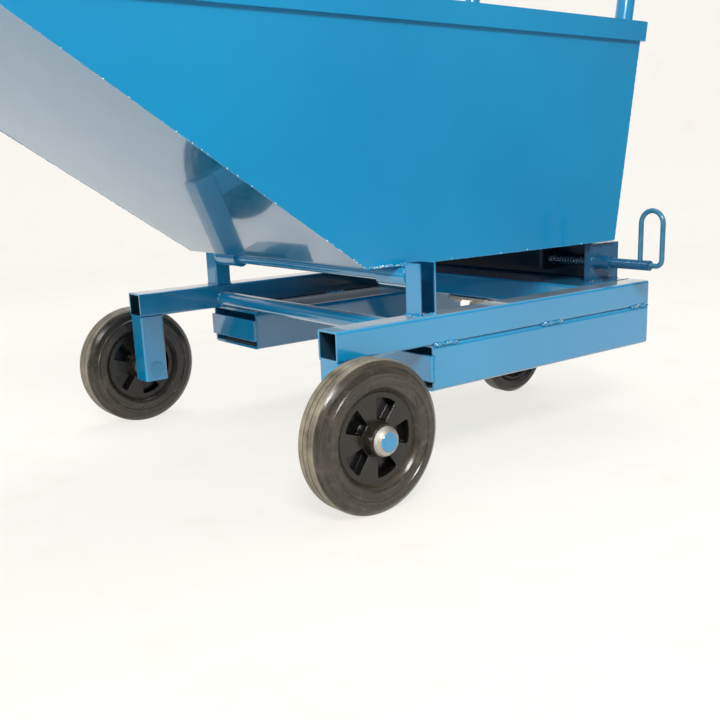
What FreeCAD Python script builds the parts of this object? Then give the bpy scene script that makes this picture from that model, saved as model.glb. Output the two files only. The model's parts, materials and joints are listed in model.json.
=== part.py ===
import FreeCAD, Part
import math
import os

# Tipping skip trolley, in millimetres: a three-wheeled carriage with fork pockets and a tipping skip.
# X points to the tipping front, Y to the latch side and Z up, with the floor at zero.
# Places along X are laid out from the front axle; the whole trolley is moved to its middle on export.

V = FreeCAD.Vector

# Fits
running_fit = 0.05
drilled_fit = 0.02
side_play = 0.5
swivel_play = 0.2
tolerance = 0.001

# Carriage rails
frame_width = 588.0
rail_length = 644.0
rail_under = 191.0
rail_side = 40.0
rail_wall = 3.0
rail_corner = 4.0

# Legs under the front ends of the rails
leg_side = 40.0
leg_wall = 3.0
leg_below_axle = 19.0

# Posts that carry the pivot
pivot_behind_axle = 142.0
pivot_above_rail = 50.0
post_side = 30.0
post_wall = 4.0
post_corner = 3.5
post_height = 70.0

# Cross members
front_tube_d = 25.0
front_tube_wall = 2.5
front_tube_height = 206.0
rear_member_depth = 130.0
rear_member_wall = 4.0

# Rest beam under the rear of the skip
rest_beam_depth = 40.0
rest_beam_wall = 3.0
rest_pad_thickness = 5.0
rest_pad_length = 60.0
rest_pad_inset = 39.0

# Fork pockets under the rails, with a stop strap over the front mouth
pocket_width = 140.0
pocket_height = 65.0
pocket_wall = 4.0
pocket_corner = 6.0
strap_height = 36.0
strap_thickness = 6.0

# Front wheels on stub axles
wheel_d = 200.0
tread_width = 46.0
axle_d = 25.0
axle_washer_d = 40.0
axle_washer_thickness = 3.5
retainer_d = 39.0
retainer_height = 8.0
retainer_rim = 1.5
retainer_shoulder_d = 34.6
retainer_shoulder = 5.2
retainer_land = 0.8
axle_proud = 1.0
axle_chamfer = 0.8
hub_length = 60.0
hub_end_d = 42.0
hub_root_d = 47.0
centre_d = 118.0
centre_width = 30.0
spoke_count = 5
window_inside_d = 48.0
window_outside_d = 104.0
window_angle = 37.0
window_first_angle = 53.0
window_corner = 2.5
window_back = 4.0
roller_d = 5.0
roller_length = 40.0
roller_count = 8
roller_ring_length = 5.0
roller_ring_fit = 0.1

# Tread and sidewall of the front tyres
groove_width = 3.0
groove_depth = 2.5
centre_rib_width = 11.0
tread_flat = 24.0
tread_edge_d = 193.0
tread_edge_width = 34.0
shoulder_d = 181.0
shoulder_width = 42.5
bead_lip_d = 127.0
sidewall_width = 44.0
sidewall_ring_d = 161.0
sidewall_ring_width = 2.0
sidewall_ring_slope = 1.5

# Swivel castor under the rear member
castor_trail = 45.0
castor_wheel_d = 150.0
castor_tread_width = 40.0
castor_shoulder = 6.0
castor_bead_slope = 5.0
castor_rim_d = 104.0
castor_rim_width = 30.0
castor_rim_thickness = 5.0
castor_rim_slope = 3.0
castor_hub_d = 36.0
castor_hub_length = 50.0
castor_hub_slope = 4.0
castor_web_width = 10.0
castor_plate_length = 135.0
castor_plate_width = 110.0
castor_plate_thickness = 5.0
castor_plate_corner = 12.0
castor_bolt_spacing_x = 105.0
castor_bolt_spacing_y = 80.0
castor_bolt_d = 10.0
castor_bolt_hex = 16.0
castor_bolt_head = 6.4
castor_bolt_proud = 2.5
castor_nut_height = 8.0
castor_race_d = 74.0
castor_race_height = 8.0
castor_race_foot_d = 66.0
castor_race_slope = 3.0
castor_kingpin_d = 14.0
castor_kingpin_head_d = 28.0
castor_kingpin_head = 8.0
castor_fork_sheet = 4.0
castor_fork_crown = 5.0
castor_fork_front = 32.0
castor_fork_back = 36.0
castor_fork_bend = 5.0
castor_boss_radius = 18.0
castor_boss_rounding = 17.0
castor_axle_d = 12.0
castor_axle_hex = 19.0
castor_axle_head = 7.5
castor_axle_nut = 10.0
castor_axle_proud = 3.0
castor_sleeve_d = 18.0

# Skip
skip_post_gap = 14.0
skip_ahead_of_rear = 23.0
skip_floor_ahead_of_pivot = 68.0
skip_depth = 344.0
skip_sheet = 3.0
front_slope = 34.0
rear_lean = 9.5
rim_bar_height = 30.0
rim_bar_thickness = 6.0
pivot_shaft_d = 18.0
hinge_sleeve_d = 30.0
hinge_sleeve_length = 63.0
hinge_side_gap = 1.0

# Push handle on the rear wall
handle_tube_d = 30.0
handle_tube_wall = 2.5
handle_inset = 55.0
handle_start = 80.0
handle_reach = 565.0
handle_bend = 70.0
handle_pad_width = 40.0
handle_pad_length = 60.0

# Spring latch beside the rest beam
latch_ahead_of_rear = 60.0
latch_above_rail = 32.0
bracket_length = 74.0
bracket_thickness = 12.0
bracket_height = 61.0
bracket_rail_gap = 23.0
rod_d = 16.0
rod_inner_d = 12.0
rod_shoulder_gap = 0.5
rod_chamfer = 2.0
rod_past_rail = 44.0
bush_d = 22.0
bush_length = 33.0
collar_d = 20.0
collar_length = 8.0
collar_pin_d = 4.0
spring_length = 73.0
spring_wire = 2.0
spring_inside_d = 13.0
spring_turns = 11
spring_sides = 8
spring_lead = 5.0
spring_end_turn = 60.0
nose_length = 5.0
catch_thickness = 8.0
catch_length = 36.0
catch_below_rod = 18.0
catch_hole_play = 2.0
nose_gap = 1.0
loop_bar_d = 8.0
loop_width = 40.0
loop_height = 85.0
loop_past_rod = 21.0
loop_foot_bend = 10.0

# Places that follow from the sizes
axle_z = wheel_d / 2
rail_top = rail_under + rail_side
rail_outer = frame_width / 2
rail_inner = rail_outer - rail_side
rail_middle = rail_outer - rail_side / 2
rail_front = leg_side / 2
rail_rear = rail_front - rail_length
pivot_x = -pivot_behind_axle
pivot_z = rail_top + pivot_above_rail
floor_under = pivot_z + hinge_sleeve_d / 2
floor_front = pivot_x + skip_floor_ahead_of_pivot
floor_rear = rail_rear + skip_ahead_of_rear
rim_top = floor_under + skip_depth
wall_outer = rail_inner - skip_post_gap
lip_front = floor_front + skip_depth / math.tan(math.radians(front_slope))
rear_top = floor_rear - skip_depth * math.tan(math.radians(rear_lean))
post_inner = rail_inner
pocket_under = rail_under - pocket_height
pocket_middle = rail_outer - pocket_width / 2
pocket_front = pivot_x
pocket_length = pocket_front - rail_rear
beam_front = rail_rear + rest_beam_depth
beam_top = floor_under - rest_pad_thickness
washer_face = rail_outer + axle_washer_thickness
hub_inner = washer_face + side_play
hub_outer = hub_inner + hub_length
wheel_middle = (hub_inner + hub_outer) / 2
retainer_face = hub_outer + side_play
axle_end = retainer_face + retainer_height + axle_proud
roller_track_d = axle_d + 2 * running_fit + 2 * roller_d
latch_x = rail_rear + latch_ahead_of_rear
latch_z = rail_top + latch_above_rail
bracket_outside = rail_inner - bracket_rail_gap
bracket_inside = bracket_outside - bracket_thickness
collar_outer = bracket_inside - spring_length
collar_inner = collar_outer - collar_length
nose_tip = collar_inner - nose_length
catch_outer = nose_tip - nose_gap
rod_shoulder = bracket_outside + rod_shoulder_gap
rod_end = rail_outer + rod_past_rail
handle_middle = wall_outer - handle_inset
castor_x = rail_rear + rear_member_depth / 2
castor_wheel_x = castor_x - castor_trail
castor_wheel_z = castor_wheel_d / 2
castor_plate_under = rail_under - castor_plate_thickness
castor_race_under = castor_plate_under - castor_race_height
crown_top = castor_race_under - swivel_play
crown_under = crown_top - castor_fork_crown
fork_inside = castor_hub_length / 2 + side_play
fork_outside = fork_inside + castor_fork_sheet

# Directions along and out of the two sloping ends of the skip
front_along = V(math.cos(math.radians(front_slope)), 0, math.sin(math.radians(front_slope)))
front_out = V(front_along.z, 0, -front_along.x)
rear_along = V(-math.sin(math.radians(rear_lean)), 0, math.cos(math.radians(rear_lean)))
rear_out = V(-rear_along.z, 0, rear_along.x)
rear_foot = V(floor_rear, 0, floor_under)
handle_line = rear_foot + rear_out * (rim_bar_thickness + handle_tube_d / 2)
handle_rear = (handle_line + rear_along * handle_reach).x - handle_tube_d / 2
lip_reach = lip_front + rim_bar_thickness * front_out.x
middle_x = (lip_reach + handle_rear) / 2


def polar(radius, degrees):
    turn = math.radians(degrees)
    return V(radius * math.cos(turn), radius * math.sin(turn), 0)


def outline(corners):
    """Closed wire in the XY plane through (x, y, radius) corners, rounded where the radius is not zero."""
    points = [V(x, y, 0) for x, y, radius in corners]
    spans = []
    for i, (x, y, radius) in enumerate(corners):
        here = points[i]
        back = (points[i - 1] - here).normalize()
        ahead = (points[(i + 1) % len(points)] - here).normalize()
        half = back.getAngle(ahead) / 2
        reach = radius / math.tan(half)
        bulge = radius / math.sin(half) - radius
        middle = here + (back + ahead).normalize() * bulge
        spans.append((here + back * reach, middle, here + ahead * reach))
    edges = []
    for i, (enter, middle, leave) in enumerate(spans):
        following = spans[(i + 1) % len(spans)][0]
        if corners[i][2] > 0:
            edges.append(Part.Arc(enter, middle, leave).toShape())
        if not leave.isEqual(following, tolerance):
            edges.append(Part.makeLine(leave, following))
    return Part.Wire(edges)


def rectangle(width, height, corner):
    x = width / 2
    y = height / 2
    return outline([(x, y, corner), (-x, y, corner), (-x, -y, corner), (x, -y, corner)])


def hollow_bar(width, height, wall, corner, length):
    """Hollow section standing along Z, with its walls open at both ends."""
    inner_corner = max(corner - wall, 0)
    inside = rectangle(width - 2 * wall, height - 2 * wall, inner_corner)
    face = Part.makeFace([rectangle(width, height, corner), inside], "Part::FaceMakerBullseye")
    return face.extrude(V(0, 0, length))


def turned(shape, origin, x_dir, z_dir):
    """Moves a shape drawn about the origin so that its X and Z point along the two directions."""
    shape.Placement = FreeCAD.Placement(origin, FreeCAD.Rotation(x_dir, V(), z_dir, "ZXY"))
    return shape


def round_bar(diameter, x, y_from, y_to, z):
    """Round bar along Y."""
    return Part.makeCylinder(diameter / 2, y_to - y_from, V(x, y_from, z), V(0, 1, 0))


def round_tube(outside_d, inside_d, x, y_from, y_to, z):
    """Round tube or washer along Y."""
    return round_bar(outside_d, x, y_from, y_to, z).cut(round_bar(inside_d, x, y_from, y_to, z))


def box(x_range, y_range, z_range):
    low = V(min(x_range), min(y_range), min(z_range))
    high = V(max(x_range), max(y_range), max(z_range))
    size = high - low
    return Part.makeBox(size.x, size.y, size.z, low)


def slab(points_xz, y_from, y_to):
    """Flat or folded plate: an outline in the XZ plane, extended along Y."""
    corners = [V(x, y_from, z) for x, z in points_xz]
    face = Part.Face(Part.makePolygon(corners + corners[:1]))
    return face.extrude(V(0, y_to - y_from, 0))


def spun(corners, x, y, z):
    """Solid turned about an axle along Y, from (radius, across, rounding) corners."""
    solid = Part.Face(outline(corners)).revolve(V(), V(0, 1, 0), 360)
    solid.translate(V(x, y, z))
    return solid


def hexagon(across_flats, height, origin, direction):
    """Hexagonal head or nut that stands along Y or Z, with a flat towards X."""
    radius = across_flats / 2 / math.cos(math.radians(30))
    corners = [polar(radius, 30 + 60 * i) for i in range(6)]
    prism = Part.Face(Part.makePolygon(corners + corners[:1])).extrude(V(0, 0, height))
    return turned(prism, origin, V(1, 0, 0), direction)


def both_sides(shape):
    """The piece and its mirror image across the plane where Y is zero."""
    return [shape, shape.mirror(V(), V(0, 1, 0))]


def pipe(edges, diameter, sides=0):
    """Bar swept along a path of lines and arcs, round or with a number of flat sides."""
    path = Part.Wire(edges)
    first = path.Edges[0]
    start = first.valueAt(first.FirstParameter)
    section = Part.makeCircle(diameter / 2, start, first.tangentAt(first.FirstParameter))
    if sides:
        section = Part.makePolygon(section.discretize(sides + 1))
    return path.makePipeShell([Part.Wire(section)], True, False)


def mirrored_profile(side):
    """Whole wheel profile from the corners of one side and their mirror image."""
    return side + [(radius, -across, rounding) for radius, across, rounding in reversed(side)]


def make_rail():
    bar = hollow_bar(rail_side, rail_side, rail_wall, rail_corner, rail_length)
    return turned(bar, V(rail_rear, rail_middle, rail_under + rail_side / 2), V(0, 1, 0), V(1, 0, 0))


def make_leg():
    foot = axle_z - leg_below_axle
    bar = hollow_bar(leg_side, leg_side, leg_wall, rail_corner, rail_under - foot)
    bar.translate(V(0, rail_middle, foot))
    return bar.cut(round_bar(axle_d + 2 * drilled_fit, 0, rail_inner, rail_outer, axle_z))


def make_axle():
    """Stub axle, chamfered at its free end and flush with the inner face of the leg."""
    bar = round_bar(axle_d, 0, rail_inner, axle_end, axle_z)
    rims = [e for e in bar.Edges if e.BoundBox.YMin > axle_end - axle_chamfer]
    return bar.makeChamfer(axle_chamfer, rims)


def make_axle_washer():
    return round_tube(axle_washer_d, axle_d + 2 * drilled_fit, 0, rail_outer, washer_face, axle_z)


def make_retainer():
    """Pressed zinc ring that grips the axle outside the hub and rises to its end."""
    bore = axle_d / 2 + drilled_fit
    outer = retainer_d / 2
    corners = [(bore, 0, 0), (outer, 0, 0), (outer, retainer_rim, 0),
               (retainer_shoulder_d / 2, retainer_shoulder, 0),
               (bore + retainer_land, retainer_height, 0), (bore, retainer_height, 0)]
    return spun(corners, 0, retainer_face, axle_z)


def make_post():
    """Channel open to the outside, its web flush with the rail and drilled for the pivot."""
    half = post_side / 2
    hollow = half - post_wall
    section = outline([(half, post_side, 0), (half, 0, post_corner), (-half, 0, post_corner),
                       (-half, post_side, 0), (-hollow, post_side, 0), (-hollow, post_wall, 0),
                       (hollow, post_wall, 0), (hollow, post_side, 0)])
    channel = Part.Face(section).extrude(V(0, 0, post_height))
    channel.translate(V(pivot_x, post_inner, rail_top))
    web = (post_inner, post_inner + post_wall)
    return channel.cut(round_bar(pivot_shaft_d + 2 * drilled_fit, pivot_x, web[0], web[1], pivot_z))


def make_pivot_shaft():
    """Shaft between the posts, flush with the outside of their webs."""
    end = post_inner + post_wall
    return round_bar(pivot_shaft_d, pivot_x, -end, end, pivot_z)


def make_front_tube():
    inside_d = front_tube_d - 2 * front_tube_wall
    return round_tube(front_tube_d, inside_d, pivot_x, -rail_inner, rail_inner, front_tube_height)


def castor_bolt_places():
    half_x = castor_bolt_spacing_x / 2
    half_y = castor_bolt_spacing_y / 2
    return [(castor_x + i * half_x, j * half_y) for i in (-1, 1) for j in (-1, 1)]


def castor_bolt_holes(z_from, z_to):
    radius = castor_bolt_d / 2 + drilled_fit
    holes = [Part.makeCylinder(radius, z_to - z_from, V(x, y, z_from)) for x, y in castor_bolt_places()]
    return Part.makeCompound(holes)


def make_rear_member():
    bar = hollow_bar(rear_member_depth, rail_side, rear_member_wall, rail_corner, 2 * rail_inner)
    middle = V(rail_rear + rear_member_depth / 2, -rail_inner, rail_under + rail_side / 2)
    turned(bar, middle, V(1, 0, 0), V(0, 1, 0))
    return bar.cut(castor_bolt_holes(rail_under, rail_under + rear_member_wall))


def make_rest_beam():
    height = beam_top - rail_top
    bar = hollow_bar(rest_beam_depth, height, rest_beam_wall, rail_corner, 2 * bracket_inside)
    middle = V(rail_rear + rest_beam_depth / 2, -bracket_inside, rail_top + height / 2)
    return turned(bar, middle, V(1, 0, 0), V(0, 1, 0))


def make_rest_pads():
    across = (rail_rear + rail_corner, beam_front - rail_corner)
    outer = bracket_inside - rest_pad_inset
    pad = box(across, (outer - rest_pad_length, outer), (beam_top, floor_under))
    return Part.makeCompound(both_sides(pad))


def make_pocket():
    bar = hollow_bar(pocket_width, pocket_height, pocket_wall, pocket_corner, pocket_length)
    middle = V(rail_rear, pocket_middle, pocket_under + pocket_height / 2)
    return turned(bar, middle, V(0, 1, 0), V(1, 0, 0))


def make_strap():
    middle = pocket_under + pocket_height / 2
    across = (pocket_middle - pocket_width / 2, pocket_middle + pocket_width / 2)
    high = (middle - strap_height / 2, middle + strap_height / 2)
    return box((pocket_front, pocket_front + strap_thickness), across, high)


def make_window():
    """Sector-shaped recess in one face of a wheel centre, its corners rounded."""
    inside = window_inside_d / 2
    outside = window_outside_d / 2
    back = window_back / 2
    face = centre_width / 2
    points = [V(inside, back, 0), V(outside, back, 0), V(outside, face, 0), V(inside, face, 0)]
    sector = Part.Face(Part.makePolygon(points + points[:1])).revolve(V(), V(0, 1, 0), window_angle)
    upright = [e for e in sector.Edges if e.BoundBox.YLength > face - back - tolerance]
    return sector.makeFillet(window_corner, upright)


def make_wheel_centre():
    """Moulded centre: a tapered hub, and a disc whose recessed windows leave broad spokes on both faces."""
    face = centre_width / 2
    end = hub_length / 2
    side = [(roller_track_d / 2, end, 0), (hub_end_d / 2, end, 0),
            (hub_root_d / 2, face, 0), (centre_d / 2, face, 0)]
    centre = spun(mirrored_profile(side), 0, wheel_middle, axle_z)
    for window in both_sides(make_window()):
        window.translate(V(0, wheel_middle, axle_z))
        for i in range(spoke_count):
            recess = window.copy()
            angle = 180 + window_first_angle + 360 / spoke_count * i
            recess.rotate(V(0, wheel_middle, axle_z), V(0, 1, 0), angle)
            centre = centre.cut(recess)
    return centre


def make_tyre():
    """Rubber tyre: bead lip, sidewall with a raised ring, sloping shoulder and two tread grooves."""
    tread = wheel_d / 2
    floor = tread - groove_depth
    rib = centre_rib_width / 2
    groove = rib + groove_width
    wall = sidewall_width / 2
    proud = tread_width / 2
    ring_inside = (sidewall_ring_d - sidewall_ring_width) / 2
    ring_outside = (sidewall_ring_d + sidewall_ring_width) / 2
    side = [(centre_d / 2, centre_width / 2, 0), (bead_lip_d / 2, wall, 0),
            (ring_inside - sidewall_ring_slope, wall, 0), (ring_inside, proud, 0),
            (ring_outside, proud, 0), (ring_outside + sidewall_ring_slope, wall, 0),
            (shoulder_d / 2, shoulder_width / 2, 0), (tread_edge_d / 2, tread_edge_width / 2, 0),
            (tread, tread_flat / 2, 0),
            (tread, groove, 0), (floor, groove, 0), (floor, rib, 0), (tread, rib, 0)]
    return spun(mirrored_profile(side), 0, wheel_middle, axle_z)


def make_roller_bearing():
    """Rollers round the axle, held between two end rings inside the hub."""
    inside_d = axle_d + 2 * roller_ring_fit
    half = roller_length / 2
    pieces = []
    for near, far in ((-half - roller_ring_length, -half), (half, half + roller_ring_length)):
        ring = round_tube(roller_track_d, inside_d, 0, wheel_middle + near, wheel_middle + far, axle_z)
        pieces.append(ring)
    for i in range(roller_count):
        place = polar(axle_d / 2 + running_fit + roller_d / 2, 360 / roller_count * i)
        roller = round_bar(roller_d, place.x, wheel_middle - half, wheel_middle + half, axle_z + place.y)
        pieces.append(roller)
    return Part.makeCompound(pieces)


def make_castor_plate():
    """Top plate with its bolt holes, and the pin hole in the middle."""
    plate = Part.Face(rectangle(castor_plate_length, castor_plate_width, castor_plate_corner))
    plate = plate.extrude(V(0, 0, castor_plate_thickness))
    plate.translate(V(castor_x, 0, castor_plate_under))
    plate = plate.cut(castor_bolt_holes(castor_plate_under, rail_under))
    pin_radius = castor_kingpin_d / 2 + drilled_fit
    pin = Part.makeCylinder(pin_radius, castor_plate_thickness, V(castor_x, 0, castor_plate_under))
    return plate.cut(pin)


def make_castor_race():
    """Swivel race: a pressed ring under the plate, wider at its top."""
    pin = castor_kingpin_d / 2 + drilled_fit
    upper = castor_race_d / 2
    corners = [(pin, castor_race_under), (castor_race_foot_d / 2, castor_race_under),
               (upper, castor_race_under + castor_race_slope), (upper, castor_plate_under),
               (pin, castor_plate_under)]
    points = [V(radius, 0, z) for radius, z in corners]
    race = Part.Face(Part.makePolygon(points + points[:1])).revolve(V(), V(0, 0, 1), 360)
    race.translate(V(castor_x, 0, 0))
    return race


def make_castor_kingpin():
    """Pin through plate, race and fork crown, with its head under the crown."""
    head_top = crown_under - swivel_play
    shank = Part.makeCylinder(castor_kingpin_d / 2, rail_under - head_top, V(castor_x, 0, head_top))
    head_foot = V(castor_x, 0, head_top - castor_kingpin_head)
    head = Part.makeCylinder(castor_kingpin_head_d / 2, castor_kingpin_head, head_foot)
    return shank.fuse(head).removeSplitter()


def make_castor_bolts():
    """Bolts from below, through the plate and the floor of the rear member."""
    bolts = []
    length = castor_plate_thickness + rear_member_wall + castor_nut_height + castor_bolt_proud
    for x, y in castor_bolt_places():
        shank = Part.makeCylinder(castor_bolt_d / 2, length, V(x, y, castor_plate_under))
        head_foot = V(x, y, castor_plate_under - castor_bolt_head)
        head = hexagon(castor_bolt_hex, castor_bolt_head, head_foot, V(0, 0, 1))
        bolts.append(shank.fuse(head).removeSplitter())
    return Part.makeCompound(bolts)


def make_castor_nuts():
    """Nuts fixed on the floor of the rear member."""
    seat = rail_under + rear_member_wall
    up = V(0, 0, 1)
    nuts = [hexagon(castor_bolt_hex, castor_nut_height, V(x, y, seat), up) for x, y in castor_bolt_places()]
    return Part.makeCompound(nuts).cut(castor_bolt_holes(seat, seat + castor_nut_height))


def make_castor_fork():
    """Folded fork: a crown under the race and two legs that trail back to the axle."""
    front = castor_x + castor_fork_front
    back = castor_x - castor_fork_back
    low = castor_wheel_z - castor_boss_radius
    near = castor_wheel_x + castor_boss_radius
    far = castor_wheel_x - castor_boss_radius
    knee = castor_wheel_z + castor_wheel_d / 2
    side = outline([(front, crown_top, 0), (back, crown_top, 0), (back, knee, castor_boss_radius),
                    (far, castor_wheel_z + castor_boss_radius, castor_boss_radius),
                    (far, low, castor_boss_rounding), (near, low, castor_boss_rounding),
                    (front, knee, castor_boss_radius)])
    block = Part.Face(side).extrude(V(0, 0, 2 * fork_outside))
    turned(block, V(0, fork_outside, 0), V(1, 0, 0), V(0, -1, 0))
    folds = [e for e in block.Edges
             if e.BoundBox.ZMin > crown_top - tolerance and e.BoundBox.YLength < tolerance]
    block = block.makeFillet(castor_fork_bend, folds)
    past = castor_fork_sheet
    inside = box((far - past, front + past), (-fork_inside, fork_inside), (low - past, crown_under))
    fork = block.cut(inside)
    pin_radius = castor_kingpin_d / 2 + running_fit
    pin = Part.makeCylinder(pin_radius, castor_fork_crown, V(castor_x, 0, crown_under))
    bore = castor_axle_d + 2 * drilled_fit
    axle = round_bar(bore, castor_wheel_x, -fork_outside, fork_outside, castor_wheel_z)
    return fork.cut(pin).cut(axle)


def make_castor_axle():
    """Axle bolt with its head on one leg of the fork."""
    thread_end = fork_outside + castor_axle_nut + castor_axle_proud
    shank = round_bar(castor_axle_d, castor_wheel_x, -thread_end, fork_outside, castor_wheel_z)
    head_place = V(castor_wheel_x, fork_outside, castor_wheel_z)
    head = hexagon(castor_axle_hex, castor_axle_head, head_place, V(0, 1, 0))
    return shank.fuse(head).removeSplitter()


def make_castor_axle_nut():
    place = V(castor_wheel_x, -fork_outside, castor_wheel_z)
    nut = hexagon(castor_axle_hex, castor_axle_nut, place, V(0, -1, 0))
    bore = castor_axle_d + 2 * drilled_fit
    thread = round_bar(bore, castor_wheel_x, -fork_outside - castor_axle_nut, -fork_outside, castor_wheel_z)
    return nut.cut(thread)


def make_castor_sleeve():
    bore = castor_axle_d + 2 * drilled_fit
    return round_tube(castor_sleeve_d, bore, castor_wheel_x, -fork_inside, fork_inside, castor_wheel_z)


def make_castor_wheel_centre():
    hub = castor_hub_d / 2
    end = castor_hub_length / 2
    rim = castor_rim_d / 2
    rim_inside = rim - castor_rim_thickness
    web = castor_web_width / 2
    side = [(castor_sleeve_d / 2 + running_fit, end, 0), (hub, end, 0), (hub + castor_hub_slope, web, 0),
            (rim_inside - castor_rim_slope, web, 0), (rim_inside, castor_rim_width / 2, 0),
            (rim, castor_rim_width / 2, 0)]
    return spun(mirrored_profile(side), castor_wheel_x, 0, castor_wheel_z)


def make_castor_tyre():
    tread = castor_wheel_d / 2
    half = castor_tread_width / 2
    rim = castor_rim_d / 2
    side = [(rim, castor_rim_width / 2, 0), (rim + castor_bead_slope, half, 0),
            (tread - castor_shoulder, half, 0), (tread, half - castor_shoulder, 0)]
    return spun(mirrored_profile(side), castor_wheel_x, 0, castor_wheel_z)


def skip_section():
    """Outer and inner corners of the sheet from the lip, round the floor, to the top of the rear wall."""
    slope = math.radians(front_slope)
    lean = math.radians(rear_lean)
    front_in = skip_sheet * math.tan(slope / 2)
    rear_in = skip_sheet * math.tan((math.pi / 2 - lean) / 2)
    floor_top = floor_under + skip_sheet
    outer = [(lip_front, rim_top), (floor_front, floor_under),
             (floor_rear, floor_under), (rear_top, rim_top)]
    inner = [(lip_front - skip_sheet / math.sin(slope), rim_top), (floor_front - front_in, floor_top),
             (floor_rear + rear_in, floor_top), (rear_top + skip_sheet / math.cos(lean), rim_top)]
    return outer, inner


def make_skip_sheet(i):
    """One straight stretch of the sheet between the side walls, mitred at the bends."""
    outer, inner = skip_section()
    inside = wall_outer - skip_sheet
    return slab([outer[i], outer[i + 1], inner[i + 1], inner[i]], -inside, inside)


def make_skip_wall():
    outer, inner = skip_section()
    return slab(outer, wall_outer - skip_sheet, wall_outer)


def make_skip_rim():
    """Flat bars round the top edge, on the outside of the walls."""
    edge = wall_outer + rim_bar_thickness
    low = rim_top - rim_bar_height
    front_low = lip_front - rim_bar_height / math.tan(math.radians(front_slope))
    rear_low = rear_top + rim_bar_height * math.tan(math.radians(rear_lean))
    corners = [(lip_front, rim_top), (front_low, low), (rear_low, low), (rear_top, rim_top)]
    bars = both_sides(slab(corners, wall_outer, edge))
    ends = [(V(lip_front, 0, rim_top), front_along, front_out),
            (V(rear_top, 0, rim_top), rear_along, rear_out)]
    for top, along, out in ends:
        foot = top - along * rim_bar_height
        points = [top, foot, foot + out * rim_bar_thickness, top + out * rim_bar_thickness]
        bars.append(slab([(p.x, p.z) for p in points], -edge, edge))
    return Part.makeCompound(bars)


def make_hinge_sleeves():
    outer = post_inner - hinge_side_gap
    bore = pivot_shaft_d + 2 * running_fit
    sleeve = round_tube(hinge_sleeve_d, bore, pivot_x, outer - hinge_sleeve_length, outer, pivot_z)
    return Part.makeCompound(both_sides(sleeve))


def make_catch():
    """Plate under the skip floor with the hole that the latch rod enters."""
    foot = latch_z - catch_below_rod
    along = (latch_x - catch_length / 2, latch_x + catch_length / 2)
    across = (catch_outer - catch_thickness, catch_outer)
    plate = box(along, across, (foot, floor_under))
    hole = round_bar(rod_inner_d + catch_hole_play, latch_x, across[0], across[1], latch_z)
    return plate.cut(hole)


def make_push_handle():
    """Bent tube: two legs along the rear wall and a cross bar above the rim."""
    half = handle_middle
    bend = handle_bend
    foot = handle_line + rear_along * handle_start
    knee = handle_line + rear_along * (handle_reach - bend)
    top = handle_line + rear_along * handle_reach
    inset = bend * (1 - math.sqrt(0.5))
    elbow = top - rear_along * inset
    left = V(0, half, 0)
    edges = [Part.makeLine(foot + left, knee + left),
             Part.Arc(knee + left, elbow + V(0, half - inset, 0), top + V(0, half - bend, 0)).toShape(),
             Part.makeLine(top + V(0, half - bend, 0), top - V(0, half - bend, 0)),
             Part.Arc(top - V(0, half - bend, 0), elbow - V(0, half - inset, 0), knee - left).toShape(),
             Part.makeLine(knee - left, foot - left)]
    return pipe(edges, handle_tube_d).cut(pipe(edges, handle_tube_d - 2 * handle_tube_wall))


def make_handle_pads():
    """Spacer plates between the rear wall and the lower ends of the handle."""
    low = rear_foot + rear_along * handle_start
    high = low + rear_along * handle_pad_length
    points = [low, high, high + rear_out * rim_bar_thickness, low + rear_out * rim_bar_thickness]
    edges = (handle_middle - handle_pad_width / 2, handle_middle + handle_pad_width / 2)
    pad = slab([(p.x, p.z) for p in points], edges[0], edges[1])
    return Part.makeCompound(both_sides(pad))


def make_latch_bracket():
    """Thick plate standing on the rear member at the end of the rest beam."""
    across = (bracket_inside, bracket_outside)
    plate = box((rail_rear, rail_rear + bracket_length), across, (rail_top, rail_top + bracket_height))
    return plate.cut(round_bar(rod_inner_d + 2 * running_fit, latch_x, across[0], across[1], latch_z))


def make_latch_bush():
    end = bracket_outside + bush_length
    return round_tube(bush_d, rod_d + 2 * running_fit, latch_x, bracket_outside, end, latch_z)


def collar_pin_bar(length):
    middle = (collar_inner + collar_outer) / 2
    return Part.makeCylinder(collar_pin_d / 2, length, V(latch_x - length / 2, middle, latch_z), V(1, 0, 0))


def make_latch_rod():
    """Rod with a chamfered nose, thinner inside the bracket and drilled for the collar pin."""
    nose = round_bar(rod_inner_d, latch_x, nose_tip, rod_shoulder, latch_z)
    rim = [e for e in nose.Edges if e.BoundBox.YMax < nose_tip + rod_chamfer]
    grip = round_bar(rod_d, latch_x, rod_shoulder, rod_end, latch_z)
    return nose.makeChamfer(rod_chamfer, rim).fuse(grip).removeSplitter().cut(collar_pin_bar(collar_d))


def make_latch_collar():
    ring = round_tube(collar_d, rod_inner_d, latch_x, collar_inner, collar_outer, latch_z)
    return ring.cut(collar_pin_bar(collar_d))


def make_collar_pin():
    return collar_pin_bar(collar_d)


def make_latch_handle():
    """Bent bar loop: its foot saddles the rod, and its other end runs into the end of the rod."""
    inner = rod_end + loop_past_rod - loop_width
    outer = rod_end + loop_past_rod
    round_top = loop_width / 2
    shoulder = latch_z + loop_height - round_top
    bend = loop_foot_bend
    inset = bend * math.sqrt(0.5)
    curve_start = V(latch_x, outer - bend, latch_z)
    curve_middle = V(latch_x, outer - bend + inset, latch_z + bend - inset)
    curve_end = V(latch_x, outer, latch_z + bend)
    crown = V(latch_x, outer - round_top, latch_z + loop_height)
    edges = [Part.makeLine(V(latch_x, rod_end, latch_z), curve_start),
             Part.Arc(curve_start, curve_middle, curve_end).toShape(),
             Part.makeLine(curve_end, V(latch_x, outer, shoulder)),
             Part.Arc(V(latch_x, outer, shoulder), crown, V(latch_x, inner, shoulder)).toShape(),
             Part.makeLine(V(latch_x, inner, shoulder), V(latch_x, inner, latch_z))]
    return pipe(edges, loop_bar_d).cut(round_bar(rod_d, latch_x, rod_shoulder, rod_end, latch_z))


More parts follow.
